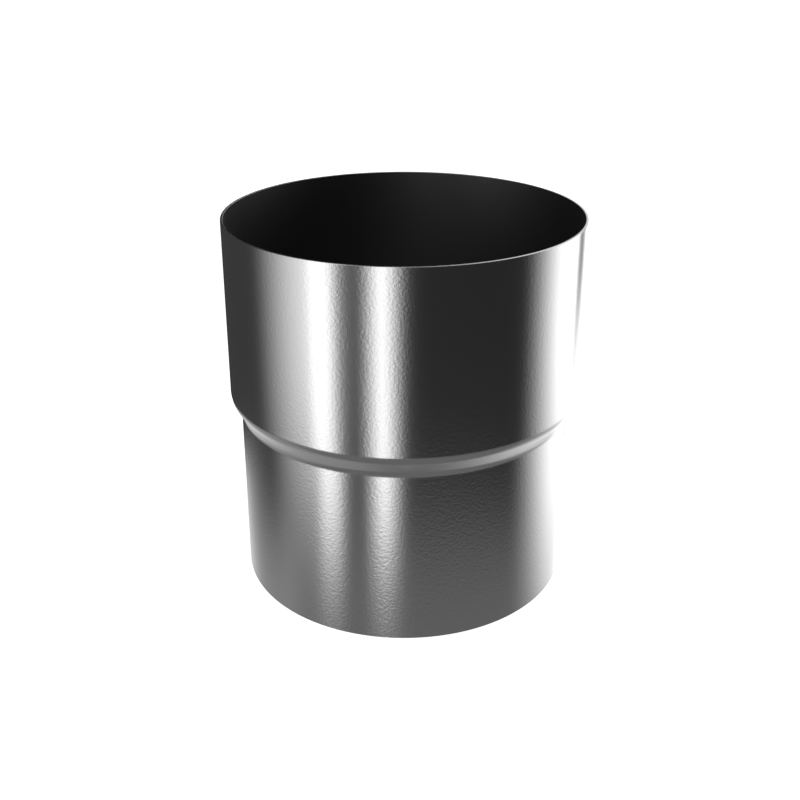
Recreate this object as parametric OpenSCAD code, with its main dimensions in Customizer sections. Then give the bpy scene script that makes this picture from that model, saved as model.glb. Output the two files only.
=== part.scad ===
/* [Pipe and sheet] */
// Outside diameter of the round downpipe that both ends join
pipe_d = 100; // [60:1:150]
// Thickness of the steel sheet, in the connector and in the pipe
sheet_t = 0.7; // [0.5:0.05:1.2]

/* [Fits] */
// Gap all round between the upper pipe and the socket that it drops into
socket_gap = 0.25; // [0.1:0.05:0.6]
// Gap all round between the spigot and the lower pipe that it goes into
spigot_gap = 1.25; // [0.9:0.05:3]

/* [Lengths] */
// Straight depth of the socket, from its rim down to the shoulder
socket_l = 50.4; // [25:0.1:90]
// Straight length of the spigot, from the shoulder down to its rim
spigot_l = 49.7; // [25:0.1:90]

/* [Shoulder] */
// Radius of the shoulder's two bends, at the middle of the sheet
bend_r = 4.5; // [3:0.1:6.5]
// Slope of the straight stretch between the bends, in degrees from the tube's axis
slope = 30; // [20:1:32]

/* [Cut edges] */
// Radius that takes the burr off each corner of the two cut edges
edge_r = 0.15; // [0.05:0.01:0.2]

/* [Hidden] */
$fn = 180;

// Steps in which the section's arcs are drawn
bend_steps = 12;
edge_steps = 4;

// Radii at the middle of the sheet
socket_r = pipe_d / 2 + socket_gap + sheet_t / 2;
spigot_r = pipe_d / 2 - sheet_t - spigot_gap - sheet_t / 2;

// The two bends take up part of the step between those radii, and the slope takes up the rest
step_in = socket_r - spigot_r;
slope_l = (step_in - 2 * bend_r * (1 - cos(slope))) / sin(slope);
shoulder_h = 2 * bend_r * sin(slope) + slope_l * cos(slope);

// Heights above the spigot's rim, on which the tube stands
shoulder_z0 = spigot_l;
shoulder_z1 = shoulder_z0 + shoulder_h;
rim_z = shoulder_z1 + socket_l;

// Points of an arc from angle a0 to angle a1
function arc(centre, r, a0, a1, steps) = [
    for (i = [0:steps])
        let (a = a0 + (a1 - a0) * i / steps)
            centre + r * [cos(a), sin(a)]
];

function reversed(points) = [
    for (i = [len(points) - 1:-1:0])
        points[i]
];

// A rounded corner of the sheet, on its outer face where side is 1 and on its inner face where it is -1
function lower_corner(side) = arc(
    [spigot_r + side * (sheet_t / 2 - edge_r), edge_r],
    edge_r, -90, side > 0 ? 0 : -180, edge_steps
);
function upper_corner(side) = arc(
    [socket_r + side * (sheet_t / 2 - edge_r), rim_z - edge_r],
    edge_r, side > 0 ? 0 : 180, 90, edge_steps
);

// The S-shaped shoulder in one face of the sheet. Both faces bend about the same two centres,
// so the sheet keeps its thickness all the way through.
function shoulder(side) = concat(
    arc([spigot_r + bend_r, shoulder_z0], bend_r - side * sheet_t / 2, 180, 180 - slope, bend_steps),
    arc([socket_r - bend_r, shoulder_z1], bend_r + side * sheet_t / 2, -slope, 0, bend_steps)
);

// One face of the sheet from the lower edge to the upper one
function face(side) = concat(lower_corner(side), shoulder(side), upper_corner(side));

// A round tube of one sheet: socket above, shoulder, spigot below
module connector() {
    color("silver")
        rotate_extrude()
            polygon(concat(face(1), reversed(face(-1))));
}

connector();
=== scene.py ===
"""Downpipe connector in bright rolled steel: a socket above an S-shaped shoulder, and a spigot below it.

The solid comes from the frame as it is. This script gives it its steel, stands it on a pale floor in a
softbox studio, and looks at it from the front and above. Lengths are in metres, angles in degrees.
"""
from collections import namedtuple
import math

import bpy
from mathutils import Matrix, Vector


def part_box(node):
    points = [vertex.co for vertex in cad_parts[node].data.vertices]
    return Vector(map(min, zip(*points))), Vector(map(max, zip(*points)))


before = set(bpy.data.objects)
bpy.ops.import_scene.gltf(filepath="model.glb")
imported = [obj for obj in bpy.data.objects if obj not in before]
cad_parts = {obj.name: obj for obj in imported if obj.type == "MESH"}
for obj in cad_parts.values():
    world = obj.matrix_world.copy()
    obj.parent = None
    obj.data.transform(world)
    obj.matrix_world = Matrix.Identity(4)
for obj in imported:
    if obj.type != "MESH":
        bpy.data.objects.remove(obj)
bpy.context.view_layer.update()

# The connector's own sizes, from the frame
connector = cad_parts["connector"]
low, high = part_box("connector")
rim_z = high.z
socket_r = high.x

MM = 0.001


# Nodes

def add_node(tree, kind, inputs=None, **settings):
    """A node of this kind, with its settings and with values or links for its inputs."""
    node = tree.nodes.new(kind)
    for name, value in settings.items():
        setattr(node, name, value)
    for name, value in (inputs or {}).items():
        if isinstance(value, bpy.types.NodeSocket):
            tree.links.new(value, node.inputs[name])
        else:
            node.inputs[name].default_value = value
    return node


def maths(tree, operation, *values):
    """The result of one calculation on values or links."""
    return add_node(tree, "ShaderNodeMath", dict(enumerate(values)), operation=operation).outputs[0]


def ramp(tree, value, start, end, low=0.0, high=1.0):
    """A smooth rise or fall from low, where the value is at start, to high, where it is at end."""
    inputs = {"Value": value, "From Min": start, "From Max": end, "To Min": low, "To Max": high}
    node = add_node(tree, "ShaderNodeMapRange", inputs, interpolation_type="SMOOTHSTEP")
    return node.outputs["Result"]


def new_group(name, inputs, outputs):
    """An empty node group with number sockets of these names, and its two ends."""
    group = bpy.data.node_groups.new(name, "ShaderNodeTree")
    for socket in inputs:
        group.interface.new_socket(socket, in_out="INPUT", socket_type="NodeSocketFloat")
    for socket in outputs:
        group.interface.new_socket(socket, in_out="OUTPUT", socket_type="NodeSocketFloat")
    return group, group.nodes.new("NodeGroupInput").outputs, group.nodes.new("NodeGroupOutput").inputs


# Studio

# Azimuth 0 is the camera's side of the studio and 90 its right, and elevation 0 is level. A panel is a light
# between two upright edges. Its edges are soft over the widths given, and a flag, which takes light away,
# has a brightness below zero.
Panel = namedtuple("Panel", "middle half_width side_edge bottom bottom_edge top top_edge brightness")
PANELS = {
    "window": Panel(126, 24, 50, -29, 18, 60, 40, 1.9),
    "rear_window": Panel(160, 17, 4, -30, 17, 60, 40, 0.8),
    "window_bar": Panel(143.5, 6, 4, -21, 10, 60, 40, -1.7),
    "lit_ground": Panel(170, 28, 120, -90, 1, -27.5, 4, 1.3),
    "key_strip": Panel(-13.4, 5, 21, -32.4, 2.5, 60, 40, 2.2),
    "side_strip": Panel(-51.6, 8, 11, -32.4, 5.6, 60, 40, 1.15),
    "side_panel": Panel(-66, 14.5, 55, -29, 11, 60, 40, 1.1),
    "left_ground": Panel(-103, 17, 27, -90, 1, -31, 6, 0.1),
    "left_wall": Panel(-120, 45, 30, -90, 1, 60, 40, 0.025),
    "ceiling": Panel(0, 200, 1, 65, 30, 100, 1, 0.7),
}
DARK_WALL = 0.024
GROUND = 0.161
GROUND_TOP = -31.4
GROUND_EDGE = 5.5


def soft_step(tree, value, place, edge):
    """A smooth rise from 0 to 1 as the value passes a place, over the width of its soft edge."""
    half = maths(tree, "MULTIPLY", edge, 0.5)
    return ramp(tree, value, maths(tree, "SUBTRACT", place, half), maths(tree, "ADD", place, half))


def make_panel_group():
    """One studio panel: how bright it is in the direction of an azimuth and an elevation."""
    group, given, result = new_group("studio_panel", ["azimuth", "elevation", *Panel._fields], ["light"])
    turn = maths(group, "SUBTRACT", given["azimuth"], given["middle"])
    aside = maths(group, "ABSOLUTE", maths(group, "WRAP", turn, 180.0, -180.0))
    beside = soft_step(group, aside, given["half_width"], given["side_edge"])
    across = maths(group, "SUBTRACT", 1.0, beside)
    upward = soft_step(group, given["elevation"], given["bottom"], given["bottom_edge"])
    above = soft_step(group, given["elevation"], given["top"], given["top_edge"])
    height = maths(group, "MULTIPLY", upward, maths(group, "SUBTRACT", 1.0, above))
    shape = maths(group, "MULTIPLY", across, height)
    group.links.new(maths(group, "MULTIPLY", shape, given["brightness"]), result["light"])
    return group


def make_studio():
    """The light all round: panels on dark walls above a grey ground. The camera itself sees only white."""
    world = bpy.data.worlds.new("studio")
    bpy.context.scene.world = world
    world.use_nodes = True
    tree = world.node_tree
    tree.nodes.clear()

    where = add_node(tree, "ShaderNodeTexCoord").outputs["Generated"]
    along = add_node(tree, "ShaderNodeSeparateXYZ", {"Vector": where}).outputs
    front = maths(tree, "MULTIPLY", along["Y"], -1.0)
    azimuth = maths(tree, "DEGREES", maths(tree, "ARCTAN2", along["X"], front))
    elevation = maths(tree, "DEGREES", maths(tree, "ARCSINE", along["Z"]))

    ground_low = GROUND_TOP - GROUND_EDGE / 2
    ground_high = GROUND_TOP + GROUND_EDGE / 2
    light = ramp(tree, elevation, ground_low, ground_high, GROUND, DARK_WALL)
    group = make_panel_group()
    for name, panel in PANELS.items():
        given = {"azimuth": azimuth, "elevation": elevation, **panel._asdict()}
        node = add_node(tree, "ShaderNodeGroup", given, node_tree=group, name=name)
        light = maths(tree, "ADD", light, node.outputs["light"])
    light = maths(tree, "MAXIMUM", light, 0.0)

    lit = add_node(tree, "ShaderNodeBackground", {"Strength": light})
    white = add_node(tree, "ShaderNodeBackground", {"Strength": 1.0})
    for node in (lit, white):
        node.inputs["Color"].default_value = (1, 1, 1, 1)
    path = add_node(tree, "ShaderNodeLightPath").outputs
    mix = add_node(tree, "ShaderNodeMixShader", {"Fac": path["Is Camera Ray"]})
    tree.links.new(lit.outputs[0], mix.inputs[1])
    tree.links.new(white.outputs[0], mix.inputs[2])
    output = add_node(tree, "ShaderNodeOutputWorld")
    tree.links.new(mix.outputs[0], output.inputs["Surface"])


# Floor

FLOOR_HALF = 3.0
FLOOR_GLOW = 0.8


def make_floor():
    """A pale floor under the spigot's rim, which lies out of sight of the steel."""
    mesh = bpy.data.meshes.new("floor")
    corners = [(x * FLOOR_HALF, y * FLOOR_HALF, low.z) for x, y in ((-1, -1), (1, -1), (1, 1), (-1, 1))]
    mesh.from_pydata(corners, [], [(0, 1, 2, 3)])
    floor = bpy.data.objects.new("floor", mesh)
    bpy.context.scene.collection.objects.link(floor)
    floor.visible_glossy = False

    material = bpy.data.materials.new("pale_floor")
    material.use_nodes = True
    tree = material.node_tree
    surface = tree.nodes["Principled BSDF"]
    surface.inputs["Base Color"].default_value = (0.85, 0.85, 0.85, 1)
    surface.inputs["Roughness"].default_value = 0.9
    surface.inputs["Specular IOR Level"].default_value = 0.0
    surface.inputs["Emission Color"].default_value = (1, 1, 1, 1)
    surface.inputs["Emission Strength"].default_value = FLOOR_GLOW
    clear = add_node(tree, "ShaderNodeBsdfTransparent")
    side = add_node(tree, "ShaderNodeNewGeometry").outputs["Backfacing"]
    mix = add_node(tree, "ShaderNodeMixShader", {"Fac": side})
    tree.links.new(surface.outputs[0], mix.inputs[1])
    tree.links.new(clear.outputs[0], mix.inputs[2])
    tree.links.new(mix.outputs[0], tree.nodes["Material Output"].inputs["Surface"])
    mesh.materials.append(material)


# Steel

# Tone and roughness of the sheet's bright outside, its rougher inside, whose dark tone is painted shade of
# the hollow, its cut edges and its weld
OUTSIDE = (0.72, 0.178)
SHADED_INSIDE = (0.13, 0.45)
CUT_EDGE = (0.6, 0.25)
WELD = (0.55, 0.3)

# Rolled speckle
SPECKLE = 0.75 * MM
SPECKLE_DEPTH = 0.02 * MM

# Weld line down the back, planished flush: its half width, the width of its soft edges, how far it wanders,
# and over what length
WELD_HALF = 0.7 * MM
WELD_SOFT = 0.3 * MM
WELD_WANDER = 0.5 * MM
WELD_WANDER_LENGTH = 25 * MM


def make_bright_steel():
    """Rolled sheet steel: bright and satin outside, rougher inside with its tone darkened as painted shade,
    with cut edges and a weld down its back.
    """
    material = bpy.data.materials.new("bright_steel")
    material.use_nodes = True
    tree = material.node_tree
    steel = tree.nodes["Principled BSDF"]
    steel.inputs["Metallic"].default_value = 1.0

    place = add_node(tree, "ShaderNodeTexCoord").outputs["Object"]
    normal = add_node(tree, "ShaderNodeNewGeometry").outputs["Normal"]
    along = add_node(tree, "ShaderNodeSeparateXYZ", {"Vector": place}).outputs
    facing = add_node(tree, "ShaderNodeSeparateXYZ", {"Vector": normal}).outputs

    # Where the surface is: inside where it faces the axis, a cut edge where it faces up or down
    from_axis = add_node(tree, "ShaderNodeCombineXYZ", {"X": along["X"], "Y": along["Y"]}).outputs[0]
    outward = add_node(tree, "ShaderNodeVectorMath", {0: from_axis, 1: normal}, operation="DOT_PRODUCT")
    inside = maths(tree, "LESS_THAN", outward.outputs["Value"], 0.0)
    cut_edge = ramp(tree, maths(tree, "ABSOLUTE", facing["Z"]), 0.6, 0.8)

    wander_at = maths(tree, "MULTIPLY", along["Z"], 1 / WELD_WANDER_LENGTH)
    wander = add_node(tree, "ShaderNodeTexNoise", {"W": wander_at}, noise_dimensions="1D").outputs[0]
    middle = ramp(tree, wander, 0.0, 1.0, -WELD_WANDER, WELD_WANDER)
    off_weld = maths(tree, "ABSOLUTE", maths(tree, "SUBTRACT", along["X"], middle))
    on_weld = ramp(tree, off_weld, WELD_HALF + WELD_SOFT, WELD_HALF - WELD_SOFT)
    weld = maths(tree, "MULTIPLY", on_weld, maths(tree, "GREATER_THAN", along["Y"], 0.0))

    def by_place(outside_value, weld_value, inside_value, edge_value):
        """One value for each part of the surface, blended by the masks."""
        value = ramp(tree, weld, 0.0, 1.0, outside_value, weld_value)
        value = ramp(tree, inside, 0.0, 1.0, value, inside_value)
        return ramp(tree, cut_edge, 0.0, 1.0, value, edge_value)

    # The inside's dark tone is painted shade of the tube's hollow; the steel is the same inside and out.
    tone = by_place(OUTSIDE[0], WELD[0], SHADED_INSIDE[0], CUT_EDGE[0])
    colour = add_node(tree, "ShaderNodeCombineColor", {"Red": tone, "Green": tone, "Blue": tone})
    tree.links.new(colour.outputs[0], steel.inputs["Base Color"])
    tree.links.new(by_place(OUTSIDE[1], WELD[1], SHADED_INSIDE[1], CUT_EDGE[1]), steel.inputs["Roughness"])

    speckle = add_node(tree, "ShaderNodeTexNoise", {"Vector": place, "Scale": 1 / SPECKLE, "Detail": 2.0})
    bump = add_node(tree, "ShaderNodeBump", {"Height": speckle.outputs[0], "Distance": SPECKLE_DEPTH})
    tree.links.new(bump.outputs[0], steel.inputs["Normal"])
    return material


# Camera

# Where it stands from the tube's axis and above the socket's rim, and how far down it looks
CAMERA_BACK = 0.2899
CAMERA_ABOVE_RIM = 0.0762
CAMERA_PITCH = 21.42
LENS_MM = 47.94
# The frame's middle lies a little left of the axis and below the lens's own axis, in parts of its width
SHIFT_X = -0.0054
SHIFT_Y = -0.079


def make_camera():
    data = bpy.data.cameras.new("camera")
    data.lens = LENS_MM
    data.sensor_width = 36
    data.shift_x = SHIFT_X
    data.shift_y = SHIFT_Y
    camera = bpy.data.objects.new("camera", data)
    camera.location = (0, -CAMERA_BACK, rim_z + CAMERA_ABOVE_RIM)
    camera.rotation_euler = (math.radians(90 - CAMERA_PITCH), 0, 0)
    bpy.context.scene.collection.objects.link(camera)
    bpy.context.scene.camera = camera


make_camera()
make_studio()
make_floor()
connector.material_slots[0].material = make_bright_steel()
bpy.context.scene.view_settings.view_transform = "Standard"
